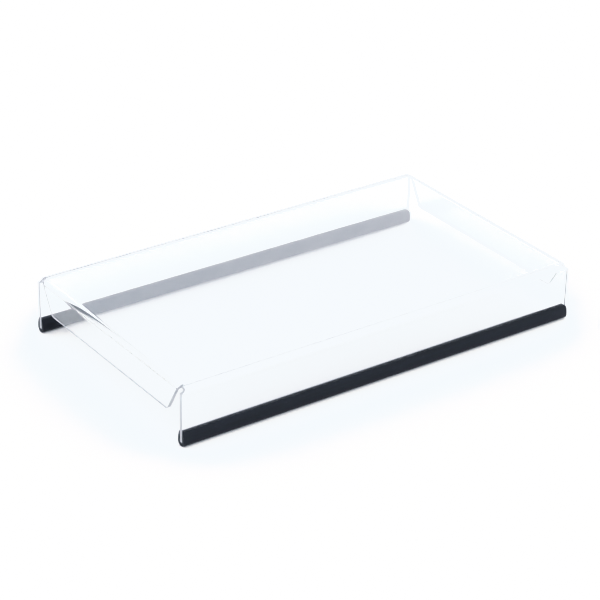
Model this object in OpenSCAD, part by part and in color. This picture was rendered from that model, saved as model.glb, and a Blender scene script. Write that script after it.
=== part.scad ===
// Clear desk tray bent from one acrylic sheet. It stands upside down, like a
// low bridge: a flat deck on two long walls, with a shorter flap at each end
// and a black edge strip pushed onto the foot of each wall.
// Origin: middle of the footprint, Z = 0 on the table. X runs along the walls.

/* [Sheet] */
// Length of the deck, over the outer faces of the end flaps
deck_length = 500; // [300:1:800]
// Width of the deck, over the outer faces of the side walls
deck_width = 288; // [180:1:500]
// Height of the deck's top face above the table
deck_height = 67; // [50:1:150]
// Thickness of the acrylic sheet
sheet_thickness = 4; // [3:0.5:6]
// Radius on the inside of every bend
bend_inner_radius = 3; // [2:0.5:6]

/* [End flaps] */
// Drop of an end flap, from the deck's top face to the flap's lower edge
flap_drop = 36.5; // [20:0.5:44]
// Angle between the slanted end of a flap and the vertical
flap_slant = 30; // [10:1:40]
// Radius of a flap's two lower corners
flap_corner_radius = 5; // [2:0.5:8]

/* [Corner reliefs] */
// Radius of the round relief at each corner, where two bends would meet
relief_radius = 7; // [5:0.5:9]
// Distance from the deck's end out to the middle of the relief
relief_setback = 1.5; // [0:0.5:3]

/* [Edge strips] */
// Height of an edge strip
strip_height = 17; // [14:0.5:22]
// Width of a strip over its bowed legs
strip_width = 11.5; // [9:0.5:14]
// Thickness of a strip's legs at their widest point
strip_leg = 1.8; // [1:0.1:2]
// Thickness of a strip's legs at their lips
lip_thickness = 1.3; // [0.8:0.1:1.6]
// Height of the flat pad with which a lip grips the sheet
lip_height = 1.5; // [1:0.25:2.5]
// Rubber left below the sheet's lower edge
strip_base = 4.5; // [3:0.25:6]
// Width of the flat that a strip stands on
foot_width = 2.4; // [1:0.2:4]
// Length by which a strip sticks out past each end of the sheet
strip_overhang = 0; // [0:0.5:3]
// Gap left between a lip and the sheet
lip_clearance = 0.05; // [0:0.05:0.2]

/* [Hidden] */
$fn = 96;

// Cutting tools reach this far past the faces they cut
past = 2;

half_length = deck_length / 2;
half_width = deck_width / 2;
bend_outer_radius = bend_inner_radius + sheet_thickness;
// The strips stand under the middle of each wall's thickness
strip_y = half_width - sheet_thickness / 2;
// The slanted end of a flap starts where the deck's corner stops being flat
flap_half_top = half_width - bend_outer_radius;
flap_half_low = flap_half_top - flap_drop * tan(flap_slant);

// ---- Acrylic sheet ---------------------------------------------------------

// Upright section of a channel that is open below: a flat top at height `top`
// and two legs at +half and -half, joined by round bends of radius `r`
module channel_section(half, top, r) {
    square_top = top - r;
    translate([-half, -past]) square([2 * half, square_top + past]);
    translate([-half + r, 0]) square([2 * (half - r), top]);
    for (side = [-1, 1])
        translate([side * (half - r), square_top]) circle(r);
}

// A section drawn in Y and Z, carried along X over +-reach
module along_x(reach) {
    translate([-reach, 0, 0]) rotate([90, 0, 90])
        linear_extrude(2 * reach) children();
}

// A section drawn in X and Z, carried along Y over +-reach
module along_y(reach) {
    translate([0, reach, 0]) rotate([90, 0, 0])
        linear_extrude(2 * reach) children();
}

// The box that the outside of the sheet follows, and with inset =
// sheet_thickness the box that its inside follows
module bent_block(inset, r) {
    intersection() {
        along_x(half_length + past)
            channel_section(half_width - inset, deck_height - inset, r);
        along_y(half_width + past)
            channel_section(half_length - inset, deck_height - inset, r);
    }
}

// Face of an end flap in Y and Z: as wide as the flat of the deck at the top,
// narrowing downwards to two rounded corners
module flap_face() {
    r = flap_corner_radius;
    low = deck_height - flap_drop;
    // Half the turn between the slanted end and the lower edge
    half_turn = (90 - flap_slant) / 2;
    // The corner arc touches both edges at this distance from the sharp corner
    tangent = r * tan(half_turn);
    centre_y = flap_half_low - tangent;
    for (side = [-1, 1]) {
        translate([side * centre_y, low + r]) circle(r);
    }
    polygon([
        [-centre_y, low], [centre_y, low],
        [flap_half_low + tangent * sin(flap_slant), low + tangent * cos(flap_slant)],
        [flap_half_top, deck_height], [-flap_half_top, deck_height],
        [-flap_half_low - tangent * sin(flap_slant), low + tangent * cos(flap_slant)],
    ]);
}

// What is cut away at one end: all of the end wall but the flap
module end_opening() {
    translate([half_length - bend_outer_radius, 0, 0]) rotate([90, 0, 90])
        linear_extrude(bend_outer_radius + past)
            difference() {
                channel_section(half_width - sheet_thickness,
                                deck_height - sheet_thickness, bend_inner_radius);
                flap_face();
            }
}

module corner_relief() {
    translate([half_length + relief_setback, half_width, deck_height])
        sphere(relief_radius);
}

module acrylic_sheet() {
    color([0.93, 0.96, 0.98, 0.35])
        difference() {
            bent_block(0, bend_outer_radius);
            bent_block(sheet_thickness, bend_inner_radius);
            for (end = [0, 1])
                mirror([end, 0, 0]) {
                    end_opening();
                    for (side = [0, 1])
                        mirror([0, side, 0]) corner_relief();
                }
            // The walls end where the strips carry them
            translate([-half_length - past, -half_width - past, -2 * past])
                cube([deck_length + 2 * past, deck_width + 2 * past,
                      2 * past + strip_base]);
        }
}

// ---- Edge strips -----------------------------------------------------------

// Lens between two arcs that bow out to +-middle at height `waist` and come in
// to +-top at height `lip`
module lens(middle, top, waist, lip) {
    rise = lip - waist;
    // Each arc's centre lies this far beyond the middle line
    back = (rise * rise - middle * middle + top * top) / (2 * (middle - top));
    intersection() {
        translate([-back, waist]) circle(middle + back, $fn = 180);
        translate([back, waist]) circle(middle + back, $fn = 180);
    }
}

// Section of a strip, standing on its foot: a round keel with two thin legs
// that bow out and come back in to grip the sheet
module strip_section() {
    half = strip_width / 2;
    grip = sheet_thickness / 2 + lip_clearance;
    lip = grip + lip_thickness;
    // Height of the keel's middle, so that its cut foot is foot_width wide
    keel = sqrt(half * half - foot_width * foot_width / 4);
    waist = (keel + strip_height) / 2;
    difference() {
        union() {
            intersection() {
                translate([0, keel]) circle(half);
                translate([-half, 0]) square([2 * half, keel]);
            }
            translate([-half, keel - 0.01]) square([2 * half, 0.02]);
            intersection() {
                lens(half, lip, keel, strip_height);
                translate([-half, keel]) square([2 * half, strip_height - keel]);
            }
        }
        // The hollow behind the lips
        intersection() {
            lens(half - strip_leg, grip, waist, strip_height - lip_height);
            translate([-half, strip_base])
                square([2 * half, strip_height - lip_height - strip_base]);
        }
        // The slot that the sheet fills
        translate([-grip, strip_base]) square([2 * grip, strip_height]);
    }
}

module edge_strip(side) {
    color([0.1, 0.11, 0.16])
        translate([0, side * strip_y, 0])
            along_x(half_length + strip_overhang) strip_section();
}

module near_edge_strip() {
    edge_strip(-1);
}

module far_edge_strip() {
    edge_strip(1);
}

acrylic_sheet();
near_edge_strip();
far_edge_strip();
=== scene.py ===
import math

import bpy
import numpy as np
from mathutils import Matrix, Vector


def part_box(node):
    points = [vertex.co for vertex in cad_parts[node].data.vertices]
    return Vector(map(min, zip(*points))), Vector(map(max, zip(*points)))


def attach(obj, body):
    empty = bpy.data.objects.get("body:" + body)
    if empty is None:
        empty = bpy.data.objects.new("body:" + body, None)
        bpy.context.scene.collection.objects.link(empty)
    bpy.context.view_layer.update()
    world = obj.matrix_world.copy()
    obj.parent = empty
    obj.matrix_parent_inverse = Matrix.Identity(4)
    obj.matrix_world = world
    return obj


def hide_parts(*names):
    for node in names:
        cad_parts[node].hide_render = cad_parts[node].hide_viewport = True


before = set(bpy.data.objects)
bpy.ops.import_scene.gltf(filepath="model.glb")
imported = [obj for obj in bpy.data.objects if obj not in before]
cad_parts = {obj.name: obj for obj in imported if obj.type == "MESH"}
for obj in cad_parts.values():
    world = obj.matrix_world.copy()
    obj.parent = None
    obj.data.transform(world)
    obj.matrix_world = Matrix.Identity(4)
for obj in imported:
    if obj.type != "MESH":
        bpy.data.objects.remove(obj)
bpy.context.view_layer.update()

# ---- Acrylic sheet ----------------------------------------------------------
# The tray is one sheet of clear cast acrylic, 4 mm thick. It was sawn and its
# corners drilled flat, then its two walls and two end flaps were bent down over
# a hot wire, so every bend is a quarter round and every cut edge is satin.

MM = 0.001
sheet_low, sheet_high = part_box("acrylic_sheet")
HALF_LENGTH = sheet_high.x
HALF_WIDTH = sheet_high.y
DECK_TOP = sheet_high.z
THICKNESS = 4.0 * MM
BEND_RADIUS = 7.0 * MM
WALL_DROP = DECK_TOP - sheet_low.z
FLAP_DROP = 36.5 * MM
FLAP_SLANT = math.radians(30)
FLAP_CORNER = 5.0 * MM
RELIEF_RADIUS = 7.0 * MM
RELIEF_SETBACK = 1.5 * MM
EDGE_ROUND = 0.25 * MM
BEND_STEPS = 24
# Share of the light that goes through a face; the rest is a faint white haze
CLEARNESS = 0.965
# The same along the two long bends. A white bloom from the heater is assumed there:
# without it light that runs down inside the walls shows the black strips in the bends
BEND_CLEARNESS = 0.7
# And the same through a cut edge
EDGE_CLEARNESS = 0.45
ACRYLIC_IOR = 1.49
SCRATCH_DEPTH = 0.01 * MM
BLADE_MARK_DEPTH = 0.03 * MM
# Spacing of the deck's grid, and depths of the rows in the flat of a wall or flap
GRID_ALONG, GRID_ACROSS = 18.0 * MM, 14.0 * MM
WALL_ROWS = np.array([14, 28, 44, 58]) * MM
FLAP_ROWS = np.array([13, 20, 27]) * MM
# The sheet's finishes, in the order of its materials
POLISHED, SAWN, BLOOMED = 0, 1, 2
# How far from its end a wall or a flap takes up the shape of that end
WALL_END_REACH = 12.0 * MM
FLAP_END_REACH = 45.0 * MM
# Narrow strips beside each bend keep the flats flat in a smooth shading
FLAT_BESIDE_BEND = 0.6 * MM


def deck_lines(half, spacing):
    """Grid lines over the flat of the deck, from -half to +half: evenly spaced,
    with one extra line just inside each end."""
    count = int(round(2 * half / spacing)) + 1
    middle = np.linspace(-half, half, count)[1:-1]
    edge = half - FLAT_BESIDE_BEND
    return np.r_[-half, -edge, middle, edge, half]


def bend_profile(drop, tail):
    """Cut through a bend and what hangs below it. Each row has its distance in from
    the outer face, R(1 - sin a), its depth below the deck, R(1 - cos a), and its
    angle a; below the quarter turn only the depth grows, through the values in tail."""
    angle = np.linspace(0, math.pi / 2, BEND_STEPS + 1)
    inset = BEND_RADIUS * (1 - np.sin(angle))
    depth = BEND_RADIUS * (1 - np.cos(angle))
    below = np.r_[BEND_RADIUS + FLAT_BESIDE_BEND, tail, drop]
    return (np.r_[inset, np.zeros(below.size)], np.r_[depth, below],
            np.r_[angle, np.full(below.size, math.pi / 2)])


def wall_end(inset, depth):
    """Where a wall stops, measured in from the deck's end: on the mitre, where this
    equals the inset, or on the drilled relief, which is a ball about the corner."""
    reach = RELIEF_RADIUS ** 2 - inset ** 2 - depth ** 2
    relief = np.sqrt(np.maximum(reach, 0)) - RELIEF_SETBACK
    return np.maximum(np.maximum(inset, relief), 0)


def flap_end(inset, depth):
    """Where a flap stops, measured in from the wall's face: on a slanted line from
    the corner of the flat, and at the bottom on an arc that touches it."""
    slanted = BEND_RADIUS + depth * math.tan(FLAP_SLANT)
    half_turn = (math.pi / 2 - FLAP_SLANT) / 2
    centre = BEND_RADIUS + FLAP_DROP * math.tan(FLAP_SLANT) + FLAP_CORNER * math.tan(half_turn)
    rise = np.clip(depth - (FLAP_DROP - FLAP_CORNER), 0, FLAP_CORNER)
    arc = centre - np.sqrt(FLAP_CORNER ** 2 - rise ** 2)
    on_arc = depth > FLAP_DROP - FLAP_CORNER * (1 - math.sin(FLAP_SLANT))
    return np.where(on_arc, arc, slanted)


def bent_band(lines, half_along, half_out, turn, profile, end, reach):
    """A wall or a flap as a grid of points and normals, rows down and columns along.
    Column x of the deck stays at x, but within reach of the end it is drawn out in
    proportion, so that the last one lies on end(inset, depth). The whole is then
    turned by a number of quarter turns about the vertical."""
    inset, depth, angle = (p[:, None] for p in profile)
    limit = end(inset, depth)
    to_end = half_along - BEND_RADIUS - np.abs(lines)[None, :]
    share = np.clip(to_end / reach, 0, 1)
    drawn = limit + share * (BEND_RADIUS + reach - limit)
    from_end = np.where(to_end < reach, drawn, BEND_RADIUS + to_end)
    along = np.sign(lines) * (half_along - from_end)
    flat = np.ones_like(along)
    points = np.stack([along, -(half_out - inset) * flat, (DECK_TOP - depth) * flat], -1)
    normals = np.stack([0 * flat, -np.sin(angle) * flat, np.cos(angle) * flat], -1)
    c, s = round(math.cos(turn * math.pi / 2)), round(math.sin(turn * math.pi / 2))
    spin = np.array([[c, -s, 0], [s, c, 0], [0, 0, 1]], float)
    return points @ spin.T, normals @ spin.T


def grid_faces(index):
    """The quads of a grid of vertex numbers, facing the side from which the rows run
    down and the columns run to the right."""
    a, b = index[:-1, :-1], index[:-1, 1:]
    d, e = index[1:, :-1], index[1:, 1:]
    return np.stack([a, d, e, b], -1).reshape(-1, 4)


def rounded_edge(points, normals, thickness, radius, steps=3):
    """The cut edge of a sheet round a closed loop of points on its outer face. Its
    section is a half-stadium: a quarter round, a flat and a quarter round. Returns
    the loop drawn in by the radius, and the rings of the edge from outside to inside."""
    ahead, behind = np.roll(points, -1, 0) - points, points - np.roll(points, 1, 0)
    ahead /= np.linalg.norm(ahead, axis=1, keepdims=True)
    behind /= np.linalg.norm(behind, axis=1, keepdims=True)
    out_ahead, out_behind = np.cross(ahead, normals), np.cross(behind, normals)
    out = out_ahead + out_behind
    out /= np.linalg.norm(out, axis=1, keepdims=True)
    # At a corner the edge is mitred, so that both of its sides keep their place
    mitre = 1 / np.maximum((out * out_ahead).sum(1, keepdims=True), 0.5)
    out = out * mitre
    drawn_in = points - radius * out
    turn = np.linspace(0, math.pi / 2, steps + 1)[1:]
    side, face = radius * np.sin(turn), radius * (1 - np.cos(turn))
    sides, depths = np.r_[side, side[::-1]], np.r_[face, thickness - face[::-1]]
    rings = drawn_in + sides[:, None, None] * out - depths[:, None, None] * normals
    return drawn_in, rings


def make_piece(name, points, faces, flat_edges=40):
    """A mesh object from an array of points and one of quads, shaded smooth except
    where two faces meet at more than flat_edges degrees."""
    mesh = bpy.data.meshes.new(name)
    mesh.from_pydata(points, [], faces.tolist())
    mesh.validate()
    mesh.polygons.foreach_set("use_smooth", np.ones(len(mesh.polygons), bool))
    mesh.set_sharp_from_angle(angle=math.radians(flat_edges))
    piece = bpy.data.objects.new(name, mesh)
    bpy.context.scene.collection.objects.link(piece)
    return piece


def bent_sheet():
    """The whole sheet. Its outer face is the deck's grid with four bands welded to
    its sides, the inner face is the same one THICKNESS behind along the normals, and
    the rounded cut edge closes the two. Returns points, quads, and the finish of each
    quad: POLISHED, SAWN, or BLOOMED along the two long bends."""
    flat_x, flat_y = HALF_LENGTH - BEND_RADIUS, HALF_WIDTH - BEND_RADIUS
    xs, ys = deck_lines(flat_x, GRID_ALONG), deck_lines(flat_y, GRID_ACROSS)
    deck = np.stack([*np.meshgrid(xs, ys[::-1]), np.full((ys.size, xs.size), DECK_TOP)], -1)
    up = np.zeros_like(deck)
    up[..., 2] = 1
    # Below its bend a flap's rows close up where its lower corner is round
    arc = np.linspace(FLAP_SLANT, math.pi / 2, 9)[:-1]
    flap_tail = np.r_[FLAP_ROWS, FLAP_DROP - FLAP_CORNER * (1 - np.sin(arc))]
    wall = bend_profile(WALL_DROP, WALL_ROWS)
    flap = bend_profile(FLAP_DROP, flap_tail)
    near = bent_band(xs, HALF_LENGTH, HALF_WIDTH, 0, wall, wall_end, WALL_END_REACH)
    right = bent_band(ys, HALF_WIDTH, HALF_LENGTH, 1, flap, flap_end, FLAP_END_REACH)
    far = bent_band(xs, HALF_LENGTH, HALF_WIDTH, 2, wall, wall_end, WALL_END_REACH)
    left = bent_band(ys, HALF_WIDTH, HALF_LENGTH, 3, flap, flap_end, FLAP_END_REACH)
    grids = [(deck, up), near, right, far, left]

    loose = np.concatenate([p.reshape(-1, 3) for p, _ in grids])
    loose_normals = np.concatenate([n.reshape(-1, 3) for _, n in grids])
    _, first, where = np.unique(np.round(loose / 1e-7).astype(np.int64), axis=0,
                                return_index=True, return_inverse=True)
    where = where.ravel()
    outer, normals = loose[first], loose_normals[first]
    starts = np.cumsum([0] + [p.shape[0] * p.shape[1] for p, _ in grids])
    index = [where[s:s + p.shape[0] * p.shape[1]].reshape(p.shape[:2])
             for s, (p, _) in zip(starts, grids)]
    faces = np.concatenate([grid_faces(i) for i in index])
    # Each wall's bend takes up the first rows of its band
    row = [np.repeat(np.arange(len(i) - 1), i.shape[1] - 1) for i in index]
    finish = np.concatenate([np.where((r < BEND_STEPS) & is_wall, BLOOMED, POLISHED)
                             for r, is_wall in zip(row, (False, True, False, True, False))])

    # The free edge: down one end of each band, along its foot and up the other end
    loop = np.concatenate([np.r_[i[:-1, 0], i[-1, :-1], i[:0:-1, -1]] for i in index[1:]])
    drawn_in, rings = rounded_edge(outer[loop], normals[loop], THICKNESS, EDGE_ROUND)
    outer[loop] = drawn_in
    inner = outer - THICKNESS * normals
    count, ring = len(outer), len(loop)
    edge_index = np.concatenate([loop[None], 2 * count + np.arange(len(rings) * ring)
                                .reshape(len(rings), ring), (count + loop)[None]])
    edge_index = np.c_[edge_index, edge_index[:, :1]]
    edge_faces = grid_faces(edge_index)
    faces = np.concatenate([faces, count + faces[:, ::-1], edge_faces])
    finish = np.concatenate([finish, finish, np.full(len(edge_faces), SAWN)])
    return np.concatenate([outer, inner, rings.reshape(-1, 3)]), faces, finish


points, faces, finish = bent_sheet()
acrylic = make_piece("bent_acrylic_sheet", points, faces)


class Value:
    """A shader value that takes part in Python sums: each operator adds a Math node
    to the value's own material."""

    def __init__(self, shader, socket):
        self.shader, self.socket = shader, socket

    def math(self, operation, other=0.0, swap=False):
        pair = (other, self) if swap else (self, other)
        return self.shader.node("ShaderNodeMath", {"operation": operation}, pair)

    def __add__(self, other):
        return self.math("ADD", other)

    def __sub__(self, other):
        return self.math("SUBTRACT", other)

    def __rsub__(self, other):
        return self.math("SUBTRACT", other, swap=True)

    def __mul__(self, other):
        return self.math("MULTIPLY", other)

    __radd__, __rmul__ = __add__, __mul__


class Shader:
    """The nodes of a material or of the world, under construction. The shader that
    is already on its output is the Principled one, or the world's Background."""

    def __init__(self, owner):
        owner.use_nodes = True
        self.owner, self.tree = owner, owner.node_tree
        self.surface = next(n for n in self.tree.nodes if n.type in ("BSDF_PRINCIPLED", "BACKGROUND"))

    def node(self, kind, settings=None, inputs=(), out=0):
        """Adds a node: its settings first, then what goes into its sockets, given by
        place or by name. Returns one output as a Value."""
        made = self.tree.nodes.new(kind)
        for name, value in (settings or {}).items():
            setattr(made, name, value)
        pairs = inputs.items() if isinstance(inputs, dict) else enumerate(inputs)
        for key, value in pairs:
            self.feed(made.inputs[key], value)
        return Value(self, made.outputs[out])

    def feed(self, socket, value):
        if isinstance(value, Value):
            self.tree.links.new(value.socket, socket)
        else:
            socket.default_value = value

    def set(self, **inputs):
        """Feeds the shader on the output; Base_Color stands for its Base Color socket."""
        for name, value in inputs.items():
            self.feed(self.surface.inputs[name.replace("_", " ")], value)

    def place(self, scale=(1, 1, 1), turn=(0, 0, 0)):
        """Object coordinates, scaled and turned."""
        here = self.node("ShaderNodeTexCoord", out="Object")
        return self.node("ShaderNodeMapping", {}, {"Vector": here, "Scale": scale, "Rotation": turn})

    def noise(self, scale, place, detail=2.0, roughness=0.5):
        """Cloudy noise from 0 to 1, with its features about 1/scale metres apart."""
        return self.node("ShaderNodeTexNoise", {}, {"Vector": place, "Scale": scale,
                                                    "Detail": detail, "Roughness": roughness})

    def between(self, value, low, high, to_low=0.0, to_high=1.0):
        """Value taken from the span low..high to to_low..to_high, smoothly, and held."""
        return self.node("ShaderNodeMapRange", {"interpolation_type": "SMOOTHSTEP"},
                         (value, low, high, to_low, to_high))

    def mix(self, share, first, second):
        """Two colours mixed by a share. Its colour sockets are the numbers 6, 7 and 2."""
        return self.node("ShaderNodeMix", {"data_type": "RGBA"}, {0: share, 6: first, 7: second}, out=2)

    def bump(self, height, strength, distance):
        """A normal tilted by a height, in metres once it is multiplied by distance."""
        return self.node("ShaderNodeBump", {}, {"Strength": strength, "Distance": distance,
                                                "Height": height})


def polished(name, clearness, dullest):
    """Cast acrylic faces: clear with a breath of blue, glossy, with the marks of a
    wiping cloth, which are dullest in roughness, and a few hair scratches."""
    s = Shader(bpy.data.materials.new(name))
    clouds = s.noise(7.0, s.place(), detail=3.0)
    wiping = s.noise(9.0, s.place((1, 5, 2), (0, 0, 0.5)), detail=4.0, roughness=0.6)
    hairs = s.noise(60.0, s.place((1, 26, 26), (0.3, 0.2, 0.9)), detail=3.0, roughness=0.7)
    crossing = s.noise(70.0, s.place((24, 1, 24), (0.2, 0.4, 0.3)), detail=3.0, roughness=0.7)
    scratch = s.between(hairs, 0.66, 0.74) + s.between(crossing, 0.67, 0.74)
    s.set(Base_Color=s.mix(clouds, (0.955, 0.975, 1.0, 1), (0.985, 0.992, 1.0, 1)),
          Roughness=s.between(wiping, 0.35, 0.75, 0.015, dullest) + scratch * 0.03,
          Normal=s.bump(0 - scratch, 0.2, SCRATCH_DEPTH),
          IOR=ACRYLIC_IOR, Transmission_Weight=clearness)
    return s.owner


def sawn_edge():
    """The cut edge: the same acrylic, but satin and grey, with fine blade marks that
    run down through the sheet."""
    s = Shader(bpy.data.materials.new("sawn_acrylic_edge"))
    blade = s.noise(1500.0, s.place((1, 1, 0.2), (0, 0.15, 0)), detail=3.0)
    s.set(Base_Color=s.mix(blade, (0.50, 0.51, 0.53, 1), (0.63, 0.64, 0.66, 1)),
          Roughness=s.between(blade, 0.3, 0.7, 0.28, 0.40),
          Normal=s.bump(blade, 0.15, BLADE_MARK_DEPTH),
          IOR=ACRYLIC_IOR, Transmission_Weight=EDGE_CLEARNESS)
    return s.owner


acrylic.data.materials.append(polished("clear_cast_acrylic", CLEARNESS, 0.05))
acrylic.data.materials.append(sawn_edge())
acrylic.data.materials.append(polished("bloomed_acrylic_bend", BEND_CLEARNESS, 0.25))
acrylic.data.polygons.foreach_set("material_index", finish)
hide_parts("acrylic_sheet")
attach(acrylic, "root")

# ---- Edge strips ------------------------------------------------------------
# A length of soft black extruded rubber trim is pushed onto the foot of each
# wall. Its section is a round keel with two thin bowed legs whose lips hold the
# sheet; here a hair of air is left between the two. It keeps the fine lines of its
# die and is cut square at its ends, except for one corner.

STRIP_LEG = 1.8 * MM
LIP_HEIGHT = 1.5 * MM
STRIP_FLOOR = sheet_low.z - 0.05 * MM
FOOT_WIDTH = 2.4 * MM
LIP_GAP = 0.05 * MM
LIP_ROUND = 0.35 * MM
LIP_THICKNESS = 1.3 * MM
DIE_LINE_DEPTH = 0.05 * MM
DIE_LINES = 15
GRAIN_DEPTH = 0.06 * MM
END_ROUND = 0.3 * MM
END_STEPS = 3
# At the right end the upper corner is rounded in the side view, probably because the
# cutter pressed the soft rubber there
PRESSED_ROUND = 4.0 * MM
PRESSED_REACH = 12.0 * MM


def bow(height, middle, top, waist, lip):
    """Half width of a bowed leg at a height: a circle's arc that is middle wide at
    the waist and top wide at the lip."""
    rise = lip - waist
    back = (rise ** 2 - middle ** 2 + top ** 2) / (2 * (middle - top))
    return np.sqrt(np.maximum((middle + back) ** 2 - (height - waist) ** 2, 0)) - back


def strip_side(half, tall):
    """Right half of a strip's section, from the middle of its foot to its lip, as an
    outer and an inner row of as many points each, (across, up)."""
    grip = THICKNESS / 2 + LIP_GAP
    lip = grip + LIP_THICKNESS
    keel = math.sqrt(half ** 2 - FOOT_WIDTH ** 2 / 4)
    # Outside: the flat foot, the round keel, then the bowed leg up to the lip
    foot = np.stack([np.linspace(0, FOOT_WIDTH / 2, 4)[:-1], np.zeros(3)], -1)
    start = math.asin(FOOT_WIDTH / 2 / half)
    turn = np.linspace(start, math.pi / 2, 25)
    round_keel = np.stack([half * np.sin(turn), keel - half * np.cos(turn)], -1)
    up = np.linspace(keel, tall - LIP_ROUND, 36)[1:]
    leg = np.stack([bow(up, half, lip, keel, tall), up], -1)
    lines = 0.5 - 0.5 * np.cos(2 * math.pi * DIE_LINES * np.arange(len(leg)) / len(leg))
    leg[:, 0] -= DIE_LINE_DEPTH * lines
    outer = np.concatenate([foot, round_keel, leg])
    # Inside: the floor, the slot, the hollow behind the lip, then the lip itself
    waist = (keel + tall) / 2
    hollow_top = tall - LIP_HEIGHT
    rise = np.r_[np.linspace(STRIP_FLOOR, hollow_top, 44), np.linspace(hollow_top, tall - LIP_ROUND, 5)[1:]]
    across = np.maximum(bow(np.minimum(rise, hollow_top), half - STRIP_LEG, grip, waist, hollow_top), grip)
    floor = np.stack([np.linspace(0, grip, len(outer) - len(rise) + 1)[:-1],
                      np.full(len(outer) - len(rise), STRIP_FLOOR)], -1)
    inner = np.concatenate([floor, np.stack([across, rise], -1)])
    # Both end in the lip's rounded top
    turn = np.linspace(0, math.pi / 2, 5)[1:, None]
    tops = []
    for path, side in ((outer, 1), (inner, -1)):
        x = path[-1, 0] - side * LIP_ROUND * (1 - np.cos(turn))
        tops.append(np.concatenate([path, np.c_[x, tall - LIP_ROUND * (1 - np.sin(turn))]]))
    return tops


def strip_section(half, tall):
    """The whole section: outer and inner rows from the left lip to the right one."""
    return [np.concatenate([side[:0:-1] * [-1, 1], side]) for side in strip_side(half, tall)]


def strip_along(low, high):
    """A strip between two corners of its box: the closed section carried along X,
    drawn in by a quarter round at each end, and closed there by quads that join the
    section's outer row to its inner row."""
    outer, inner = strip_section((high.y - low.y) / 2, high.z)
    count = len(outer)
    ring = np.concatenate([outer, inner[::-1]])
    along = np.roll(ring, -1, 0) - np.roll(ring, 1, 0)
    along /= np.linalg.norm(along, axis=1, keepdims=True)
    out = np.stack([along[:, 1], -along[:, 0]], -1)
    turn = np.linspace(0, math.pi / 2, END_STEPS + 1)
    first = low.x + END_ROUND * (1 - np.sin(turn[::-1]))
    stations = np.r_[first, np.linspace(low.x, high.x, 60)[1:-1], low.x + high.x - first[::-1]]
    shrink = np.zeros(stations.size)
    shrink[:END_STEPS + 1] = END_ROUND * (1 - np.cos(turn[::-1]))
    shrink[-END_STEPS - 1:] = shrink[END_STEPS::-1]
    flat = ring[None] - shrink[:, None, None] * out[None]
    flat[..., 1] = np.clip(flat[..., 1], 0, None)
    middle = (low.y + high.y) / 2
    # A point d above the height at which a radius r starts moves back from the right
    # end by r - sqrt(r^2 - d^2), and less the further in it lies
    r = PRESSED_ROUND
    past = np.clip(flat[..., 1] - (high.z - r), 0, r)
    share = np.clip((stations - high.x + PRESSED_REACH) / PRESSED_REACH, 0, 1)[:, None]
    along_x = stations[:, None] - share * (r - np.sqrt(r ** 2 - past ** 2))
    points = np.stack([along_x, middle + flat[..., 0], flat[..., 1]], -1)
    index = np.arange(points.shape[0] * points.shape[1]).reshape(points.shape[:2])
    faces = [grid_faces(np.c_[index, index[:, :1]])[:, ::-1]]
    for row, order in ((index[0], 1), (index[-1], -1)):
        cap = np.stack([row[:count], row[:count - 1:-1]])
        faces.append(grid_faces(cap)[:, ::order])
    return points.reshape(-1, 3), np.concatenate(faces)


def black_rubber():
    """Soft extruded rubber: near black with a blue cast, satin, with streaks along
    its length, a fine grain and a little dust."""
    s = Shader(bpy.data.materials.new("black_extruded_rubber"))
    streaks = s.noise(4.0, s.place((1, 420, 420)), detail=2.0)
    grain = s.noise(2600.0, s.place(), detail=2.0)
    bloom = s.noise(28.0, s.place((1, 3, 3)), detail=4.0, roughness=0.65)
    dust = s.between(s.noise(800.0, s.place(), detail=1.0), 0.72, 0.80)
    dark = s.mix(s.between(streaks, 0.3, 0.7), (0.001, 0.002, 0.004, 1), (0.005, 0.007, 0.013, 1))
    clouded = s.mix(s.between(bloom, 0.4, 0.8, 0.0, 0.35), dark, (0.010, 0.012, 0.020, 1))
    s.set(Base_Color=s.mix(dust * 0.3, clouded, (0.11, 0.12, 0.14, 1)),
          Roughness=s.between(streaks, 0.3, 0.7, 0.40, 0.52) + bloom * 0.08,
          Normal=s.bump(streaks * 0.8 + grain * 0.35, 0.5, GRAIN_DEPTH),
          Specular_IOR_Level=0.2)
    return s.owner


rubber = black_rubber()
for node, name in (("near_edge_strip", "near_rubber_strip"), ("far_edge_strip", "far_rubber_strip")):
    strip = make_piece(name, *strip_along(*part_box(node)))
    strip.data.materials.append(rubber)
    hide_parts(node)
    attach(strip, "root")

# ---- Studio -----------------------------------------------------------------
# The tray stands on a plain white floor under one large soft light: the whole
# room glows, brightest overhead and behind the tray, and dimmer behind the camera.

FLOOR_SIZE = 14.0
# The floor lies a hair below the feet, so that no two faces share a plane
FLOOR_LEVEL = -0.02 * MM
CAMERA_PLACE = Vector((-1.2706, -1.7719, 1.1745))
CAMERA_AZIMUTH = math.radians(-35.496)
CAMERA_ELEVATION = math.radians(27.697)
CAMERA_ROLL = math.radians(1.107)
LENS, SENSOR = 135.52, 36.0
# The room's light comes from all sides with a slight blue, more of it from overhead
# and from low down behind the tray, in this direction
ROOM_COLOUR = (0.94, 0.97, 1.0, 1)
BEHIND = (0.6, 0.8, 0)
LIGHT_BELOW, LIGHT_OVERHEAD, LIGHT_BEHIND = 1.50, 1.80, 0.5

half = FLOOR_SIZE / 2
corners = np.array([[-half, -half], [half, -half], [half, half], [-half, half]])
corners = np.c_[corners, np.full(4, FLOOR_LEVEL)]
floor = make_piece("studio_floor", corners, np.array([[0, 1, 2, 3]]))
white = Shader(bpy.data.materials.new("white_floor"))
white.set(Base_Color=(0.92, 0.90, 0.875, 1), Roughness=1.0, Specular_IOR_Level=0.0)
floor.data.materials.append(white.owner)

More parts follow.
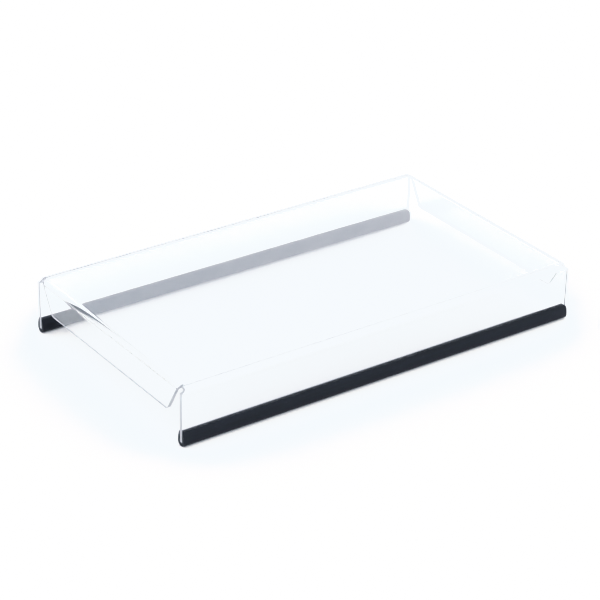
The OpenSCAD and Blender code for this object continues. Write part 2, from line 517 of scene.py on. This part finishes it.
room = Shader(bpy.data.worlds.new("soft_room"))
bpy.context.scene.world = room.owner
ray = room.node("ShaderNodeTexCoord", out="Generated")
height = room.node("ShaderNodeVectorMath", {"operation": "DOT_PRODUCT"}, (ray, (0, 0, 1)), out="Value")
behind = room.node("ShaderNodeVectorMath", {"operation": "DOT_PRODUCT"}, (ray, BEHIND), out="Value")
glow = (room.between(height, -0.1, 0.9, LIGHT_BELOW, LIGHT_OVERHEAD)
        + room.between(behind, 0.3, 1.0, 0.0, LIGHT_BEHIND))
room.set(Color=ROOM_COLOUR, Strength=glow)

camera = bpy.data.objects.new("camera", bpy.data.cameras.new("camera"))
bpy.context.scene.collection.objects.link(camera)
bpy.context.scene.camera = camera
camera.data.lens, camera.data.sensor_width = LENS, SENSOR
camera.data.clip_start, camera.data.clip_end = 0.05, 50.0
back = Vector((math.sin(CAMERA_AZIMUTH) * math.cos(CAMERA_ELEVATION),
               -math.cos(CAMERA_AZIMUTH) * math.cos(CAMERA_ELEVATION),
               math.sin(CAMERA_ELEVATION)))
level = back.to_track_quat("Z", "Y").to_matrix().to_4x4()
camera.matrix_world = Matrix.Translation(CAMERA_PLACE) @ level @ Matrix.Rotation(CAMERA_ROLL, 4, "Z")

# Light that runs along inside the sheet is reflected many times before it leaves
cycles = bpy.context.scene.cycles
cycles.max_bounces, cycles.transmission_bounces, cycles.glossy_bounces = 40, 40, 24

# The picture's own tone curve, one each for red, green and blue. It is nearly level
# over the lights that the clear sheet gives, 0.95 to 1.36, which evens the sheet out
# to one bluish near-white, and then climbs steeply, so that the floor turns pure
# white. No film or eye does this: it stands in for a retouched product picture, it was
# set for this one view, and it is no property of the materials. Each row has
# the light, then what red, green and blue make of it.
TONES = np.array([
    (0.00, 0.000, 0.000, 0.000), (0.30, 0.260, 0.275, 0.300), (0.40, 0.370, 0.385, 0.415),
    (0.50, 0.500, 0.500, 0.535), (0.70, 0.700, 0.700, 0.720), (0.85, 0.880, 0.880, 0.885),
    (0.95, 0.910, 0.935, 0.950), (1.10, 0.920, 0.953, 0.980), (1.36, 0.925, 0.958, 0.985),
    (1.41, 0.965, 0.968, 0.988), (1.45, 0.995, 0.985, 0.992), (1.50, 1.000, 0.998, 0.996),
    (1.60, 1.000, 1.000, 1.000)])
WHITEST = TONES[-1, 0]
film = bpy.context.scene.view_settings
film.view_transform, film.look = "Standard", "None"
film.use_curve_mapping = True
mapping = film.curve_mapping
mapping.white_level = (WHITEST, WHITEST, WHITEST)
mapping.extend = "HORIZONTAL"
for curve, brightness in zip(mapping.curves[:3], TONES.T[1:]):
    while len(curve.points) < len(TONES):
        curve.points.new(0.5, 0.5)
    for point, light, bright in zip(curve.points, TONES[:, 0], brightness):
        point.location = (light / WHITEST, bright)
mapping.update()

bpy.context.view_layer.update()
